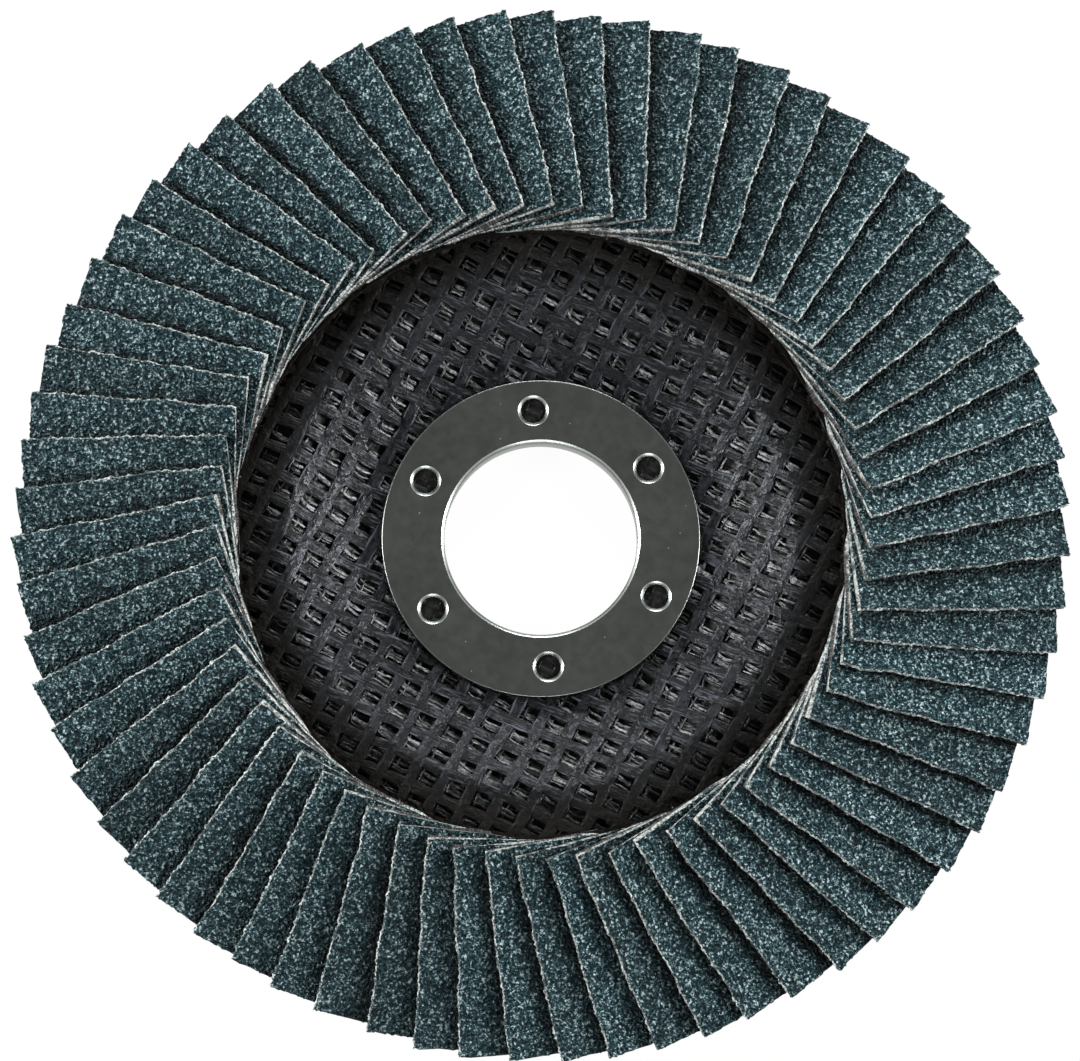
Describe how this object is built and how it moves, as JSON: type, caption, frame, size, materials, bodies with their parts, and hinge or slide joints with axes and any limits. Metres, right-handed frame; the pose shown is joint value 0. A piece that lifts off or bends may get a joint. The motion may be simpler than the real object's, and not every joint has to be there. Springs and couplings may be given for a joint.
{
  "type": "flap disc",
  "caption": "Flap disc for an angle grinder: overlapping abrasive cloth flaps glued to a conical glass-fibre backing plate with a recessed hub and a steel-lined bore.",
  "frame": {"origin": "on the axis of the bore, in the plane of the hub's back face", "axes": "+Z along the bore's axis, from the hub's back face towards the abrasive side; +X and +Y in the plane of the hub's back face"},
  "size_m": [0.1216, 0.1216, 0.0143],
  "materials": {
    "laminate": "black cured resin over coarse woven glass yarn, glossy on the yarns",
    "steel_ring": "plain pressed steel, dull satin with bright worn edges",
    "cured_resin": "dark cured adhesive",
    "abrasive_cloth": "coarse teal-grey abrasive grain in resin on cloth with pale cut edges"
  },
  "bodies": {
    "root": {"adhesive_bed": "cured_resin", "backing_plate": "laminate", "centre_ring": "steel_ring", "flaps_01_02": "abrasive_cloth", "flaps_03_04": "abrasive_cloth", "flaps_05_06": "abrasive_cloth", "flaps_07_08": "abrasive_cloth", "flaps_09_10": "abrasive_cloth", "flaps_11_12": "abrasive_cloth", "flaps_13_14": "abrasive_cloth", "flaps_15_16": "abrasive_cloth", "flaps_17_18": "abrasive_cloth", "flaps_19_20": "abrasive_cloth", "flaps_21_22": "abrasive_cloth", "flaps_23_24": "abrasive_cloth", "flaps_25_26": "abrasive_cloth", "flaps_27_28": "abrasive_cloth", "flaps_29_30": "abrasive_cloth", "flaps_31_32": "abrasive_cloth", "flaps_33_34": "abrasive_cloth", "flaps_35_36": "abrasive_cloth", "flaps_37_38": "abrasive_cloth", "flaps_39_40": "abrasive_cloth", "flaps_41_42": "abrasive_cloth", "flaps_43_44": "abrasive_cloth", "flaps_45_46": "abrasive_cloth", "flaps_47_48": "abrasive_cloth", "flaps_49_50": "abrasive_cloth", "flaps_51_52": "abrasive_cloth", "flaps_53_54": "abrasive_cloth", "flaps_55_56": "abrasive_cloth", "flaps_57_58": "abrasive_cloth", "flaps_59_60": "abrasive_cloth", "flaps_61_62": "abrasive_cloth", "flaps_63_64": "abrasive_cloth", "flaps_65_66": "abrasive_cloth", "flaps_67": "abrasive_cloth"}
  },
  "joints": []
}
